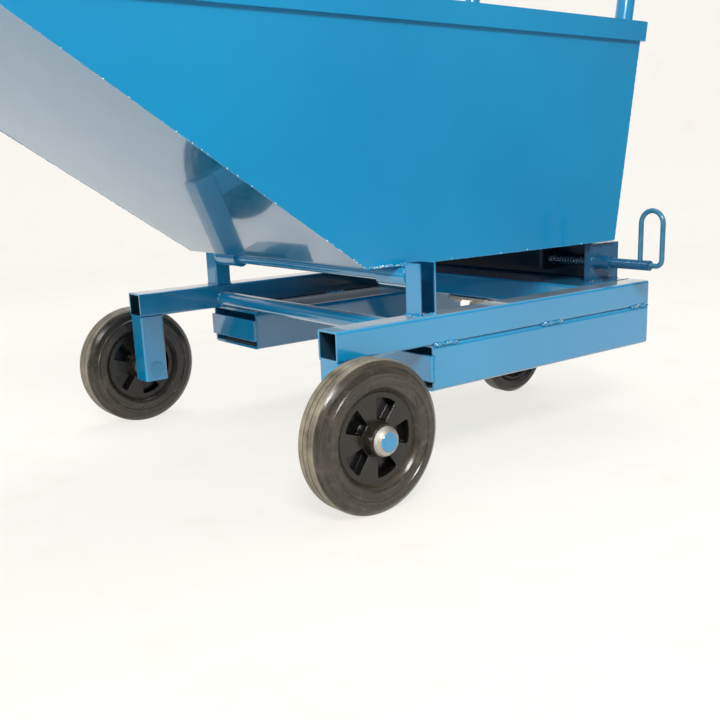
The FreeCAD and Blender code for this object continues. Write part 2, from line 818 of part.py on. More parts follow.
def biarc(start, start_way, end, end_way):
    """Two tangent arcs between two points with given directions."""
    span = end - start
    ways = start_way + end_way
    spread = 2 * (1 - start_way.dot(end_way))
    lean = span.dot(ways)
    reach = (math.sqrt(lean * lean + spread * span.dot(span)) - lean) / spread
    joint = (start + end + (start_way - end_way) * reach) * 0.5
    arcs = []
    halves = ((start, start + start_way * reach, joint), (joint, end - end_way * reach, end))
    for first, corner, last in halves:
        chord_middle = (first + last) * 0.5
        half = (last - first).Length / 2
        to_corner = corner - chord_middle
        radius = half * reach / to_corner.Length
        rise = radius - math.sqrt(radius * radius - half * half)
        middle = chord_middle + to_corner * (rise / to_corner.Length)
        arcs.append(Part.Arc(first, middle, last).toShape())
    return arcs


def make_latch_spring():
    """Coil spring round the rod, from the collar to the bracket, its ends turned square to both."""
    radius = (spring_inside_d + spring_wire) / 2
    stub = spring_wire
    coil_start = stub + spring_lead
    pitch = (spring_length - 2 * coil_start) / spring_turns

    def place(degrees, along):
        spoke = polar(radius, degrees)
        return V(latch_x + spoke.x, collar_outer + along, latch_z + spoke.y)

    def way(degrees):
        turn = math.radians(degrees)
        flat = V(-math.sin(turn), 0, math.cos(turn)) * radius
        return (flat + V(0, pitch / (2 * math.pi), 0)).normalize()

    axial = V(0, 1, 0)
    first_bend = place(-spring_end_turn, stub)
    edges = [Part.makeLine(place(-spring_end_turn, 0), first_bend)]
    edges += biarc(first_bend, axial, place(0, coil_start), way(0))
    for quarter in range(4 * spring_turns):
        ends = [(90 * q, coil_start + pitch * q / 4) for q in (quarter, quarter + 1)]
        edges += biarc(place(*ends[0]), way(ends[0][0]), place(*ends[1]), way(ends[1][0]))
    last_turn = 360 * spring_turns
    last_bend = place(last_turn + spring_end_turn, spring_length - stub)
    edges += biarc(place(last_turn, spring_length - coil_start), way(last_turn), last_bend, axial)
    edges.append(Part.makeLine(last_bend, place(last_turn + spring_end_turn, spring_length)))
    print_self_gap(edges)
    return pipe(edges, spring_wire, spring_sides)


def print_self_gap(edges):
    """Prints the least gap between turns, measured on points along the wire."""
    points = []
    for edge in edges:
        points += edge.discretize(6)[:-1]
    travelled = [0.0]
    for before, after in zip(points, points[1:]):
        travelled.append(travelled[-1] + (after - before).Length)
    apart = 4 * spring_wire
    least = min((points[i] - points[j]).Length for i in range(len(points)) for j in range(i)
                if travelled[i] - travelled[j] > apart)
    print("least gap between turns of the latch spring", round(least - spring_wire, 2), "mm")


pairs = {
    "rail": make_rail(),
    "leg": make_leg(),
    "axle": make_axle(),
    "post": make_post(),
    "fork_pocket": make_pocket(),
    "fork_stop_strap": make_strap(),
    "wheel_centre": make_wheel_centre(),
    "tyre": make_tyre(),
    "roller_bearing": make_roller_bearing(),
    "skip_wall": make_skip_wall(),
}

nodes = {
    "axle_washers": Part.makeCompound(both_sides(make_axle_washer())),
    "axle_retainers": Part.makeCompound(both_sides(make_retainer())),
    "pivot_shaft": make_pivot_shaft(),
    "front_cross_tube": make_front_tube(),
    "rear_cross_member": make_rear_member(),
    "rest_beam": make_rest_beam(),
    "rest_pads": make_rest_pads(),
    "castor_plate": make_castor_plate(),
    "castor_race": make_castor_race(),
    "castor_kingpin": make_castor_kingpin(),
    "castor_bolts": make_castor_bolts(),
    "castor_nuts": make_castor_nuts(),
    "castor_fork": make_castor_fork(),
    "castor_axle": make_castor_axle(),
    "castor_axle_nut": make_castor_axle_nut(),
    "castor_sleeve": make_castor_sleeve(),
    "castor_wheel_centre": make_castor_wheel_centre(),
    "castor_tyre": make_castor_tyre(),
    "skip_front_plate": make_skip_sheet(0),
    "skip_floor": make_skip_sheet(1),
    "skip_rear_wall": make_skip_sheet(2),
    "skip_rim": make_skip_rim(),
    "hinge_sleeves": make_hinge_sleeves(),
    "latch_catch": make_catch(),
    "push_handle": make_push_handle(),
    "handle_pads": make_handle_pads(),
    "latch_bracket": make_latch_bracket(),
    "latch_bush": make_latch_bush(),
    "latch_rod": make_latch_rod(),
    "latch_collar": make_latch_collar(),
    "latch_collar_pin": make_collar_pin(),
    "latch_spring": make_latch_spring(),
    "latch_handle": make_latch_handle(),
}

for name, shape in pairs.items():
    nodes["left_" + name], nodes["right_" + name] = both_sides(shape)

os.makedirs("parts", exist_ok=True)
for name, shape in nodes.items():
    moved = shape.copy()
    moved.translate(V(-middle_x, 0, 0))
    moved.exportStep("parts/" + name + ".step")
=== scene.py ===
import json
import math
import random

import bpy
from mathutils import Matrix, Vector


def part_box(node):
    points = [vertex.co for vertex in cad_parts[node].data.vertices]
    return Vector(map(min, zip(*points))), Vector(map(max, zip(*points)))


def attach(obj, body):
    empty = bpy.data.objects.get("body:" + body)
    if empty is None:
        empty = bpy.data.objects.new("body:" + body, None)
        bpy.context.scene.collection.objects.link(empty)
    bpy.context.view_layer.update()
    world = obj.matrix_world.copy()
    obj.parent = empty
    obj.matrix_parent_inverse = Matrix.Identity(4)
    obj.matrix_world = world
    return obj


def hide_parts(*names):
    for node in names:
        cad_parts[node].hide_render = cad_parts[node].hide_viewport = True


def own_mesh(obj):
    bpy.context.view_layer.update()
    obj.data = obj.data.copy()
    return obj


# Looks of the tipping skip trolley, in metres, in the frame of the solids.
# X points to the tipping front, Y to the latch side and Z up, with the floor at zero.

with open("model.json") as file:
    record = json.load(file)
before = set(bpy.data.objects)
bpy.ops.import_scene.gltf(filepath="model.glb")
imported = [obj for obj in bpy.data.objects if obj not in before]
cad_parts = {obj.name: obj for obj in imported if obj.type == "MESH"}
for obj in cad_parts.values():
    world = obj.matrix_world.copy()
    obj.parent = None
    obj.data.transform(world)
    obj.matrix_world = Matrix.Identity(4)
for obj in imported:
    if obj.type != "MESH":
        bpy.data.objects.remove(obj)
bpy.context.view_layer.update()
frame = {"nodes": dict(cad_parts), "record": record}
nodes = frame["nodes"]
mm = 0.001

# Camera, as the photograph was taken
photo_side = 720.0
focal_length = 955.88
optical_centre = (393.65, 402.11)
eye = Vector((0.85851, 1.23528, 0.43511))
view_way = Vector((-0.61945, -0.74576, -0.24520))
camera_roll = -1.67
film_width = 36.0

# Stage
floor_radius = 2.8
floor_columns = 144
backdrop_bend = 0.6
backdrop_bend_steps = 24
backdrop_height = 2.6
backdrop_columns = 50
paper_colour = (0.86, 0.81, 0.75)
paper_smudge = (0.70, 0.62, 0.53)
smudge_start = 0.52
smudge_full = 0.80
paper_unseen = (0.58, 0.57, 0.54)
paper_glow = (1.0, 0.98, 0.93)
paper_glow_share = 0.75

# Light
world_low = (0.22, 0.23, 0.25)
world_low_end = 0.05
world_high = (0.95, 0.96, 1.0)
world_high_start = 0.75
world_strength = 0.62
lamps = {
    "key_softbox": {
        "place": (1.6, 2.6, 2.5),
        "aim": (0.0, 0.1, 0.3),
        "size": (1.1, 0.9),
        "power": 118.0,
        "colour": (1.0, 0.98, 0.95),
    },
    "top_softbox": {
        "place": (-0.6, -0.8, 3.4),
        "aim": (-0.2, 0.0, 0.2),
        "size": (2.0, 2.0),
        "power": 60.0,
        "colour": (0.97, 0.99, 1.0),
    },
    "front_softbox": {
        "place": (3.2, 0.5, 0.9),
        "aim": (-0.1, 0.0, 0.25),
        "size": (1.4, 0.9),
        "power": 24.0,
        "colour": (1.0, 0.99, 0.97),
    },
}

# Colours
paint_light = (0.004, 0.282, 0.540)
paint_dark = (0.003, 0.233, 0.472)
# Loop handle: a greyer blue, partly wear and partly a painted reflection of the pale floor
loop_wear_and_sheen_light = (0.034, 0.170, 0.280)
loop_wear_and_sheen_dark = (0.020, 0.120, 0.215)
# Latch rod, bush and bracket: the frame's blue darkened and greyed, painted shade and painted reflection
# for how they sit under the skip's edge
latch_shade_light = (0.010, 0.105, 0.215)
latch_shade_dark = (0.006, 0.075, 0.165)
axle_paint_light = (0.010, 0.285, 0.540)
axle_paint_dark = (0.060, 0.225, 0.380)
# Painted shade: the latch catch all over, and the faces under the skip on the rest beam's front and the
# rails' inner sides
painted_shade_light = (0.004, 0.024, 0.044)
painted_shade_dark = (0.003, 0.012, 0.022)
# Painted shade for the hollow of each post's channel, where the light hardly reaches
channel_shade_colour = (0.001, 0.045, 0.120)
# Painted shade for the underside of the skip's front plate
underside_shade_colour = (0.002, 0.165, 0.325)
# Dust on faces that face up, which on the rails and front tube also stands in for the pale sheen those tops
# catch: a painted highlight
dust_and_sheen_colour = (0.48, 0.46, 0.42)
# Dark lining inside the rails: painted shade for their unlit depth
bore_shade_light = (0.006, 0.040, 0.074)
bore_shade_dark = (0.003, 0.018, 0.036)
rubber_light = (0.066, 0.054, 0.037)
rubber_dark = (0.015, 0.013, 0.010)
rubber_scuff = (0.135, 0.115, 0.085)
tread_dust = (0.34, 0.295, 0.215)
plastic_light = (0.022, 0.019, 0.014)
plastic_dark = (0.016, 0.014, 0.010)
# Painted shade at the bottom of the wheel-centre windows
plastic_window_shade = (0.003, 0.003, 0.003)
zinc_light = (0.54, 0.51, 0.455)
zinc_dark = (0.47, 0.45, 0.40)
# Near-white metal of the weld spatter, brightened so the specks stand in for glints on the painted beads: a
# painted glint
spatter_glint_light = (0.95, 0.95, 0.93)
spatter_glint_dark = (0.70, 0.72, 0.74)
steel_light = (0.28, 0.28, 0.29)
steel_dark = (0.09, 0.09, 0.10)
pad_light = (0.034, 0.033, 0.032)
pad_dark = (0.020, 0.020, 0.020)

# Share of dust on what faces up, at its least and most; the heavy share also paints in the pale sheen of
# the lit tops of the rails and front tube, a painted highlight
light_dust = (0.02, 0.14)
heavy_dust_and_sheen = (0.35, 0.80)
thick_dust = (0.75, 0.95)

# How far a surface faces some way, where a finish sets in and where it is full
square_on = (0.3, 0.7)
facing_down = (-0.1, -0.4)
facing_up = (0.80, 0.98)

# Band of a noise that holds most of its values
noise_low = 0.3
noise_high = 0.7

# Sockets of a colour mix, by number
mix_factor = 0
mix_under = 6
mix_over = 7
mix_colour = 2

# All tyres
tyre_columns = 144
rounding_steps = 5
tyre_lip_rounding = 1.2 * mm
streak_scale = (22.0, 260.0, 22.0)
scuff_share = 0.6
tread_dust_start = 2.4 * mm
tread_dust_full = 0.6 * mm

# Front tyres
tyre_bead_radius = 59.0 * mm
tyre_bead_width = 30.0 * mm
tyre_lip_radius = 66.5 * mm
tyre_wall_width = 44.0 * mm
tyre_ring_radius = 80.5 * mm
tyre_ring_width = 2.0 * mm
tyre_ring_slope = 1.3 * mm
tyre_ring_proud = 1.5 * mm
tyre_ring_foot_rounding = 1.0 * mm
tyre_ring_top_rounding = 0.6 * mm
tyre_shoulder_radius = 90.5 * mm
tyre_shoulder_width = 42.5 * mm
tyre_shoulder_rounding = 5.0 * mm
tyre_edge_radius = 96.5 * mm
tyre_edge_width = 34.0 * mm
tyre_edge_rounding = 4.0 * mm
tyre_flat = 27.0 * mm
tyre_rib = 7.0 * mm
tyre_groove = 2.2 * mm
tyre_groove_depth = 2.0 * mm
tyre_groove_edge_rounding = 0.6 * mm
tyre_groove_floor_rounding = 0.5 * mm

# Castor tyre
castor_bead_radius = 52.0 * mm
castor_bead_width = 30.0 * mm
castor_lip_radius = 59.0 * mm
castor_shoulder = 8.0 * mm
castor_wall_rounding = 3.0 * mm
castor_tread_rounding = 5.0 * mm

# Windows in the front wheel centres
centre_face = 15.0 * mm
window_inside = 24.0 * mm
window_outside = 52.0 * mm
window_shade_start = 0.4 * mm
window_shade_full = 3.0 * mm
window_blur_beyond = 0.6 * mm
window_blur_within = 0.3 * mm

# Posts and the insides of the rails
post_wall = 4.0 * mm
rail_wall = 3.0 * mm
rail_shade_reach = 300.0 * mm
bore_gap = 0.3 * mm
bore_skin = 0.5 * mm

# Latch spring
spring_wire = 2.0 * mm
spring_open_turns = 11
spring_closed_turns = 1
spring_closed_pitch = 2.2 * mm
spring_points_per_turn = 28
spring_wire_sides = 10

# Weld beads
bead_step = 1.4 * mm
bead_sides = 8
bead_ripple = 4.6 * mm
bead_drop = 0.38
bead_wander = 0.22
bead_lumps = 0.30
bead_end = 0.15
ripple_least = 0.75
ripple_most = 1.2
ring_points_least = 12
fillet_bead = 2.8 * mm
seam_bead = 1.8 * mm
fine_bead = 0.8 * mm
stitch_length = 45.0 * mm
axle_weld_start = 20.0
axle_weld_end = 195.0
lip_seam_inset_sheets = 4
sleeve_seam_inset_sheets = 2

# Weld spatter
speck = 1.1 * mm
speck_least = 0.5
speck_sides = 6
speck_steps = (-0.7, -0.3, 0.3, 0.7)
speck_radii = (0.4, 1.0, 1.0, 0.4)
stitch_spatter = 2 * fillet_bead
corner_spatter = 1.5 * stitch_length

# Softened edges
edge_softness = 0.7 * mm
edge_segments = 2
moulded_softness = 1.1 * mm
moulded_segments = 1
soft_edge_angle = 40.0
flat_angle = 1.0
merge_distance = 0.01 * mm
sharp_nodes = (
    "left_fork_stop_strap", "right_fork_stop_strap", "latch_bracket", "latch_catch", "handle_pads",
    "skip_rim", "castor_plate", "castor_bolts", "castor_nuts", "castor_axle_nut", "latch_collar",
    "rest_pads", "left_post", "right_post",
)
moulded_nodes = ("left_wheel_centre", "right_wheel_centre", "castor_wheel_centre")


def set_up_camera():
    """Camera where the photograph was taken, with its roll and off-centre crop."""
    data = bpy.data.cameras.new("photo_camera")
    data.sensor_width = film_width
    data.lens = focal_length * film_width / photo_side
    data.shift_x = (photo_side / 2 - optical_centre[0]) / photo_side
    data.shift_y = (optical_centre[1] - photo_side / 2) / photo_side
    camera = bpy.data.objects.new("photo_camera", data)
    bpy.context.scene.collection.objects.link(camera)
    ahead = view_way.normalized()
    level = ahead.cross(Vector((0, 0, 1))).normalized()
    rise = level.cross(ahead)
    turn = math.radians(camera_roll)
    across = level * math.cos(turn) + rise * math.sin(turn)
    up = rise * math.cos(turn) - level * math.sin(turn)
    camera.matrix_world = Matrix.Translation(eye) @ Matrix((across, up, -ahead)).transposed().to_4x4()
    bpy.context.scene.camera = camera


class Shader:
    """A material with one surface shader, and short ways to add nodes in front of it."""

    def __init__(self, name, **sockets):
        self.material = bpy.data.materials.new(name)
        self.material.use_nodes = True
        self.tree = self.material.node_tree
        self.surface = self.tree.nodes["Principled BSDF"]
        self.normal = None
        for socket, value in sockets.items():
            self.surface.inputs[socket.replace("_", " ")].default_value = value

    def node(self, kind, inputs=None, **settings):
        made = self.tree.nodes.new("ShaderNode" + kind)
        for name, value in settings.items():
            setattr(made, name, value)
        for name, value in (inputs or {}).items():
            self.link(value, made.inputs[name])
        return made

    def link(self, value, socket):
        """Feeds a socket from another one, or sets its own value."""
        if isinstance(value, bpy.types.NodeSocket):
            self.tree.links.new(value, socket)
        elif socket.type == "RGBA":
            socket.default_value = (*value, 1.0)
        else:
            socket.default_value = value

    def place(self):
        return self.node("TexCoord").outputs["Object"]

    def noise(self, scale, detail=2.0, roughness=0.5, place=None):
        inputs = {"Vector": place or self.place(), "Scale": scale, "Detail": detail, "Roughness": roughness}
        return self.node("TexNoise", inputs).outputs["Fac"]

    def ramp(self, factor, stops):
        """Colour by factor, from two (position, colour) stops."""
        made = self.node("ValToRGB", {"Fac": factor})
        for element, (position, colour) in zip(made.color_ramp.elements, stops):
            element.position = position
            element.color = (*colour, 1.0)
        return made.outputs["Color"]

    def drift(self, factor, dark, light):
        """Colour that drifts between two shades."""
        return self.ramp(factor, [(noise_low, dark), (noise_high, light)])

    def spread(self, factor, low, high):
        """Value that drifts between two limits over the middle of the factor."""
        inputs = {"Value": factor, "From Min": noise_low, "From Max": noise_high}
        inputs.update({"To Min": low, "To Max": high})
        return self.node("MapRange", inputs).outputs["Result"]

    def rise(self, value, start, end):
        """Nothing on one side of a band of values, one on the other, smooth between."""
        inputs = {"Value": value, "From Min": start, "From Max": end}
        return self.node("MapRange", inputs, interpolation_type="SMOOTHSTEP").outputs["Result"]

    def times(self, first, second):
        return self.node("Math", {0: first, 1: second}, operation="MULTIPLY").outputs[0]

    def blend(self, factor, under, over):
        """One colour over another by factor."""
        inputs = {mix_factor: factor, mix_under: under, mix_over: over}
        return self.node("Mix", inputs, data_type="RGBA").outputs[mix_colour]

    def facing(self, axis):
        """How far the surface faces along an axis, on the piece as it stands at rest."""
        return self.node("SeparateXYZ", {0: self.node("TexCoord").outputs["Normal"]}).outputs[axis]

    def about(self, middle):
        """Radius from an axle along Y, distance along it, and a place whose noise runs round it."""
        offset = self.node("VectorMath", {0: self.place(), 1: middle}, operation="SUBTRACT").outputs[0]
        x, y, z = self.node("SeparateXYZ", {0: offset}).outputs
        flat = self.node("CombineXYZ", {"X": x, "Z": z}).outputs[0]
        radius = self.node("VectorMath", {0: flat}, operation="LENGTH").outputs["Value"]
        across = self.node("Math", {0: y}, operation="ABSOLUTE").outputs[0]
        rounds = self.node("CombineXYZ", {"X": x, "Y": radius, "Z": z}).outputs[0]
        return radius, across, rounds

    def colour(self, value):
        self.link(value, self.surface.inputs["Base Color"])

    def gloss(self, low, high, scale, detail=2.0, dulled=None, amount=0.0):
        """Roughness that drifts between two limits, raised by some amount where the surface is dulled."""
        value = self.spread(self.noise(scale, detail), low, high)
        if dulled is not None:
            value = self.node("Math", {0: dulled, 1: amount, 2: value}, operation="MULTIPLY_ADD").outputs[0]
        self.link(value, self.surface.inputs["Roughness"])

    def bump(self, height, strength, distance):
        """One layer of bump, over any layers before it."""
        inputs = {"Height": height, "Strength": strength, "Distance": distance}
        if self.normal is not None:
            inputs["Normal"] = self.normal
        self.normal = self.node("Bump", inputs).outputs["Normal"]
        self.link(self.normal, self.surface.inputs["Normal"])


def channel_shade_mask(channel):
    """Picks out the hollow of a channel that opens away from the middle of the trolley, for painted shade
    there.
    """
    def pick(paint):
        x, y, _ = paint.node("SeparateXYZ", {0: paint.place()}).outputs
        out = paint.node("Math", {0: y}, operation="ABSOLUTE").outputs[0]
        offset = paint.node("Math", {0: x, 1: channel.middle.x}, operation="SUBTRACT").outputs[0]
        aside = paint.node("Math", {0: offset}, operation="ABSOLUTE").outputs[0]
        web = min(abs(channel.low.y), abs(channel.high.y))
        half = channel.size.x / 2 - post_wall
        return paint.times(paint.rise(out, web + post_wall / 4, web + 3 * post_wall / 4),
                           paint.rise(aside, half + post_wall / 2, half + post_wall / 4))
    return pick


def rail_inner_shade_mask(rail, post):
    """Picks out the inner face of a rail, more and more behind the post, for painted shade under the skip.
    """
    def pick(paint):
        inward = paint.times(paint.facing("Y"), -math.copysign(1.0, rail.middle.y))
        x = paint.node("SeparateXYZ", {0: paint.place()}).outputs["X"]
        behind = paint.rise(x, post.high.x, post.high.x - rail_shade_reach)
        return paint.times(paint.rise(inward, *square_on), behind)
    return pick


def front_shade_mask(paint):
    """Picks out what faces the front, for painted shade on faces in the dark under the skip."""
    return paint.rise(paint.facing("X"), *square_on)


def underside_shade_mask(paint):
    """Picks out what faces down, for painted shade on the underside of the front plate."""
    return paint.rise(paint.facing("Z"), *facing_down)


def blue_paint(name="blue_paint", coat=1.0, index=1.6, dust_and_sheen_share=light_dust, shade_mask=None,
               shade_colour=channel_shade_colour):
    """Gloss enamel over welded steel: orange peel, slow waves in the sheet, and dust on what faces up,
    which where heavy also paints in the pale sheen of lit tops as a painted highlight.

    Where a shade mask is given, the colour there is darkened with painted shade, for places the light
    hardly reaches.
    """
    paint = Shader(name, Coat_Weight=coat, Coat_Roughness=0.035, IOR=index)
    patches = paint.spread(paint.noise(scale=16.0, detail=6.0), *dust_and_sheen_share)
    dust_and_sheen = paint.times(paint.rise(paint.facing("Z"), *facing_up), patches)
    colour = paint.drift(paint.noise(scale=3.0, detail=3.0), paint_dark, paint_light)
    if shade_mask:
        colour = paint.blend(shade_mask(paint), colour, shade_colour)
    paint.colour(paint.blend(dust_and_sheen, colour, dust_and_sheen_colour))
    paint.gloss(low=0.10, high=0.20, scale=14.0, detail=4.0, dulled=dust_and_sheen, amount=0.35)
    paint.bump(paint.noise(scale=420.0), strength=0.06, distance=0.4 * mm)
    paint.bump(paint.noise(scale=7.0, detail=1.0), strength=0.10, distance=4.0 * mm)
    return paint.material


def worn_and_shaded_paint(name, dark, light, coat=0.3):
    """Thin satin paint that drifts between two shades: on the axles greyer where the steel shows through
    from rubbing, on the latch pieces darker and greyer as painted shade and painted reflection, the loop
    also partly worn.
    """
    paint = Shader(name, Coat_Weight=coat, Coat_Roughness=0.12)
    paint.colour(paint.drift(paint.noise(scale=45.0, detail=4.0, roughness=0.6), dark, light))
    paint.gloss(low=0.22, high=0.42, scale=60.0, detail=4.0)
    paint.bump(paint.noise(scale=500.0), strength=0.10, distance=0.3 * mm)
    paint.bump(paint.noise(scale=90.0), strength=0.08, distance=0.8 * mm)
    return paint.material


def bore_shade():
    """Dark bluish lining inside the tubes: painted shade for their unlit depth."""
    steel = Shader("bore_shade", Specular_IOR_Level=0.3)
    steel.colour(steel.drift(steel.noise(scale=30.0, detail=4.0), bore_shade_dark, bore_shade_light))
    steel.gloss(low=0.45, high=0.65, scale=50.0, detail=3.0)
    steel.bump(steel.noise(scale=300.0, detail=3.0), strength=0.10, distance=0.4 * mm)
    return steel.material


def tyre_rubber(name, wheel):
    """Glossy dark rubber with turning streaks round the axle and pale dust on the tread."""
    rubber = Shader(name + "_rubber", Specular_IOR_Level=0.5)
    radius, _, rounds = rubber.about(wheel.middle)
    tread = wheel.size.z / 2
    bands = rubber.node("VectorMath", {0: rounds, 1: streak_scale}, operation="MULTIPLY").outputs[0]
    streaks = rubber.noise(scale=1.0, detail=5.0, roughness=0.6, place=bands)
    marks = rubber.noise(scale=48.0, detail=6.0, roughness=0.65)
    scuffs = rubber.times(rubber.rise(marks, start=0.52, end=0.75), scuff_share)
    patches = rubber.spread(rubber.noise(scale=35.0, detail=5.0, roughness=0.6), low=0.25, high=0.95)
    worn = rubber.times(rubber.rise(radius, tread - tread_dust_start, tread - tread_dust_full), patches)
    side = rubber.blend(scuffs, rubber.drift(streaks, rubber_dark, rubber_light), rubber_scuff)
    rubber.colour(rubber.blend(worn, side, tread_dust))
    rubber.gloss(low=0.18, high=0.32, scale=60.0, detail=4.0, dulled=worn, amount=0.45)
    rubber.bump(rubber.noise(scale=900.0), strength=0.08, distance=0.3 * mm)
    rubber.bump(streaks, strength=0.22, distance=0.8 * mm)
    return rubber.material


def window_shade_mask(plastic, wheel):
    """Picks out the bottom of the windows between a wheel centre's spokes, where painted shade goes."""
    radius, across, _ = plastic.about(wheel.middle)
    deep = plastic.rise(across, centre_face - window_shade_start, centre_face - window_shade_full)
    past_hub = plastic.rise(radius, window_inside - window_blur_beyond, window_inside + window_blur_within)
    in_rim = plastic.rise(radius, window_outside + window_blur_beyond, window_outside - window_blur_within)
    return plastic.times(deep, plastic.times(past_hub, in_rim))


def black_plastic(name, wheel, windows):
    """Moulded polymer with a fine grain and slow sink marks, with painted shade at the bottom of any
    windows.
    """
    plastic = Shader(name + "_plastic", Specular_IOR_Level=0.45)
    colour = plastic.drift(plastic.noise(scale=40.0, detail=3.0), plastic_dark, plastic_light)
    if windows:
        colour = plastic.blend(window_shade_mask(plastic, wheel), colour, plastic_window_shade)
    plastic.colour(colour)
    plastic.gloss(low=0.16, high=0.28, scale=80.0, detail=3.0)
    plastic.bump(plastic.noise(scale=1500.0), strength=0.06, distance=0.2 * mm)
    plastic.bump(plastic.noise(scale=25.0, detail=1.0), strength=0.08, distance=1.0 * mm)
    return plastic.material


def zinc():
    """Bright zinc with a yellowish cast and faint spangle."""
    metal = Shader("zinc", Metallic=1.0)
    metal.colour(metal.drift(metal.noise(scale=160.0, detail=3.0), zinc_dark, zinc_light))
    metal.gloss(low=0.40, high=0.56, scale=300.0)
    metal.bump(metal.noise(scale=700.0), strength=0.06, distance=0.2 * mm)
    return metal.material


def bare_steel():
    """Oiled spring steel, dark in patches."""
    metal = Shader("bare_steel", Metallic=1.0)
    metal.colour(metal.drift(metal.noise(scale=150.0, detail=3.0), steel_dark, steel_light))
    metal.gloss(low=0.18, high=0.34, scale=200.0)
    metal.bump(metal.noise(scale=900.0), strength=0.05, distance=0.2 * mm)
    return metal.material


def spatter_and_glint_steel():
    """Drops of bare weld metal, near white so that they stand in for glints on the painted beads: a painted
    glint.
    """
    metal = Shader("spatter_and_glint_steel", Metallic=1.0)
    metal.colour(metal.drift(metal.noise(scale=400.0), spatter_glint_dark, spatter_glint_light))
    metal.gloss(low=0.25, high=0.40, scale=600.0)
    metal.bump(metal.noise(scale=1200.0), strength=0.05, distance=0.1 * mm)
    return metal.material


def pad_rubber():
    """Dull rubber of the rest pads."""
    rubber = Shader("pad_rubber", Specular_IOR_Level=0.3)
    rubber.colour(rubber.drift(rubber.noise(scale=60.0, detail=3.0), pad_dark, pad_light))
    rubber.gloss(low=0.60, high=0.75, scale=90.0)
    rubber.bump(rubber.noise(scale=800.0), strength=0.10, distance=0.3 * mm)
    return rubber.material


def stage_paper():
    """Pale paper that keeps a soft shadow and looks bright to the camera and in reflections."""
    paper = Shader("stage_paper", Roughness=0.7, Specular_IOR_Level=0.2)
    path = paper.node("LightPath").outputs
    seen = path["Is Camera Ray"]
    for ray in ("Is Glossy Ray", "Is Transmission Ray"):
        seen = paper.node("Math", {0: seen, 1: path[ray]}, operation="ADD").outputs[0]
    smudges = paper.noise(scale=7.0, detail=8.0, roughness=0.7)
    smudged = paper.ramp(smudges, [(smudge_start, paper_colour), (smudge_full, paper_smudge)])
    paper.colour(paper.blend(seen, paper_unseen, smudged))
    glow = paper.node("Emission", {"Color": paper_glow})
    inputs = {0: paper.times(seen, paper_glow_share), 1: paper.surface.outputs[0], 2: glow.outputs[0]}
    mixed = paper.node("MixShader", inputs)
    end = paper.tree.nodes["Material Output"]
    paper.tree.links.new(mixed.outputs[0], end.inputs["Surface"])
    return paper.material


def mesh_object(name, points, faces, material):
    """New piece from points and faces."""
    data = bpy.data.meshes.new(name)
    data.from_pydata([tuple(p) for p in points], [], faces)
    data.update()
    data.materials.append(material)
    made = bpy.data.objects.new(name, data)
    bpy.context.scene.collection.objects.link(made)
    return made


def smooth(made):
    made.data.polygons.foreach_set("use_smooth", [True] * len(made.data.polygons))


def stage_turn(column):
    """Angle of a column of the stage, counted from the view's own direction."""
    return math.atan2(view_way.y, view_way.x) + 2 * math.pi * column / floor_columns


def build_floor(material):
    """Round pale floor."""
    points = [Vector((0, 0, 0))]
    turns = [stage_turn(i) for i in range(floor_columns)]
    points += [Vector((floor_radius * math.cos(t), floor_radius * math.sin(t), 0)) for t in turns]
    faces = [(0, 1 + i, 1 + (i + 1) % floor_columns) for i in range(floor_columns)]
    return mesh_object("stage_floor", points, faces, material)


def build_backdrop(material):
    """Curved wall that rises out of the floor's edge behind the trolley."""
    bends = [math.pi / 2 * i / backdrop_bend_steps for i in range(backdrop_bend_steps + 1)]
    profile = [(floor_radius + backdrop_bend * math.sin(bend), backdrop_bend * (1 - math.cos(bend)))
               for bend in bends]
    profile.append((floor_radius + backdrop_bend, backdrop_height))
    points = []
    for i in range(backdrop_columns + 1):
        turn = stage_turn(i - backdrop_columns // 2)
        points += [Vector((r * math.cos(turn), r * math.sin(turn), z)) for r, z in profile]
    rows = len(profile)
    faces = [(a, a + rows, a + rows + 1, a + 1)
             for i in range(backdrop_columns) for a in range(i * rows, i * rows + rows - 1)]
    backdrop = mesh_object("stage_backdrop", points, faces, material)
    smooth(backdrop)
    return backdrop


def area_lamp(name, place, aim, size, power, colour):
    """Rectangular lamp that faces its aim."""
    data = bpy.data.lights.new(name, "AREA")
    data.shape = "RECTANGLE"
    data.size, data.size_y = size
    data.energy = power
    data.color = colour
    lamp = bpy.data.objects.new(name, data)
    bpy.context.scene.collection.objects.link(lamp)
    lamp.location = place
    lamp.rotation_euler = (Vector(aim) - Vector(place)).to_track_quat("-Z", "Y").to_euler()


def light_the_stage():
    """Soft boxes, and a room that is bright overhead and dim below."""
    world = bpy.data.worlds.new("studio")
    bpy.context.scene.world = world
    world.use_nodes = True
    tree = world.node_tree
    place = tree.nodes.new("ShaderNodeTexCoord")
    split = tree.nodes.new("ShaderNodeSeparateXYZ")
    tree.links.new(place.outputs["Generated"], split.inputs["Vector"])
    ramp = tree.nodes.new("ShaderNodeValToRGB")
    tree.links.new(split.outputs["Z"], ramp.inputs["Fac"])
    low, high = ramp.color_ramp.elements
    low.position = world_low_end
    low.color = (*world_low, 1.0)
    high.position = world_high_start
    high.color = (*world_high, 1.0)
    background = tree.nodes["Background"]
    tree.links.new(ramp.outputs["Color"], background.inputs["Color"])
    background.inputs["Strength"].default_value = world_strength
    for name, lamp in lamps.items():
        area_lamp(name, **lamp)


class Span:
    """Where a solid lies: its lowest and highest corners, its middle and its size."""

    def __init__(self, node):
        self.low, self.high = (Vector(corner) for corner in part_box(node))
        self.middle = (self.low + self.high) / 2
        self.size = self.high - self.low


wheels = {name: Span(name + "_tyre") for name in ("left", "right", "castor")}
materials = {
    "blue_paint": blue_paint(),
    "zinc": zinc(),
    "bare_steel": bare_steel(),
    "pad_rubber": pad_rubber(),
}
# Near-white spatter metal, a painted glint
glint_steel = spatter_and_glint_steel()
